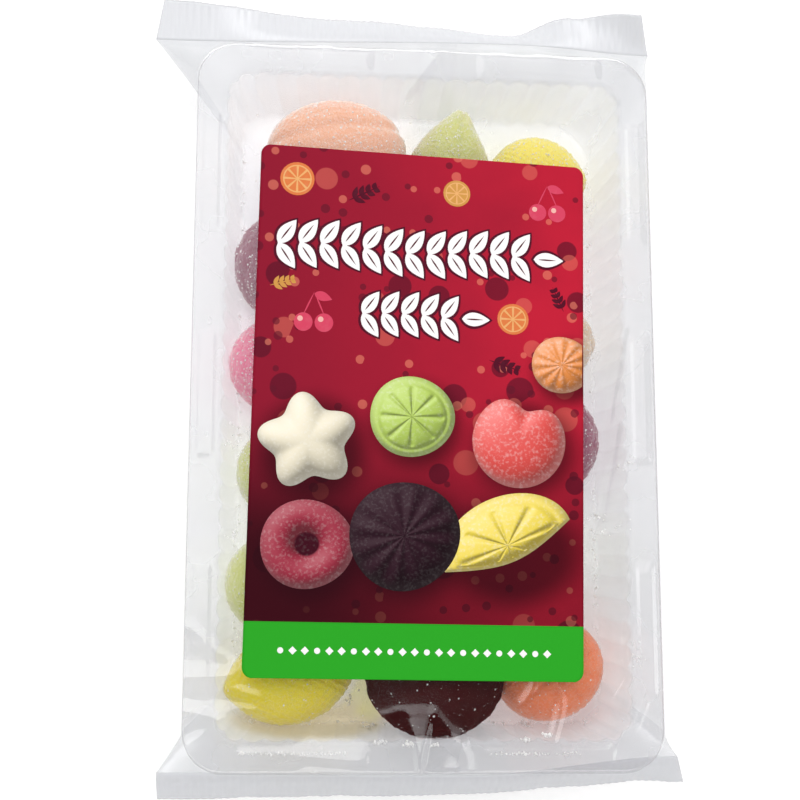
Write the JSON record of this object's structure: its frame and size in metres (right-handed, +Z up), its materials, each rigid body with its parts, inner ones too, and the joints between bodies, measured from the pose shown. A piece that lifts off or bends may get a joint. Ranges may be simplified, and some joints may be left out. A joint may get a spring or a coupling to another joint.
{
  "type": "clear pack of moulded fruit jellies",
  "caption": "Clear flow-wrap pack of sugared, fruit-shaped moulded jellies in a shallow tray, with crimped fin seals at both ends and a printed label on top.",
  "frame": {"origin": "middle of the whole pack's box, at the level of the flat ring of the base that it rests on", "axes": "+Y along the pack to its rear fin seal, +X across it to the right as the label is seen, +Z up out of the label"},
  "size_m": [0.1578, 0.2377, 0.027],
  "materials": {
    "clear_film": "thin clear wrapping film over a milky clear tray with sugared jellies",
    "printed_label": "satin printed sticker, crimson with a green band at the foot"
  },
  "bodies": {
    "root": {"film_pack": "clear_film", "label": "printed_label"}
  },
  "joints": []
}
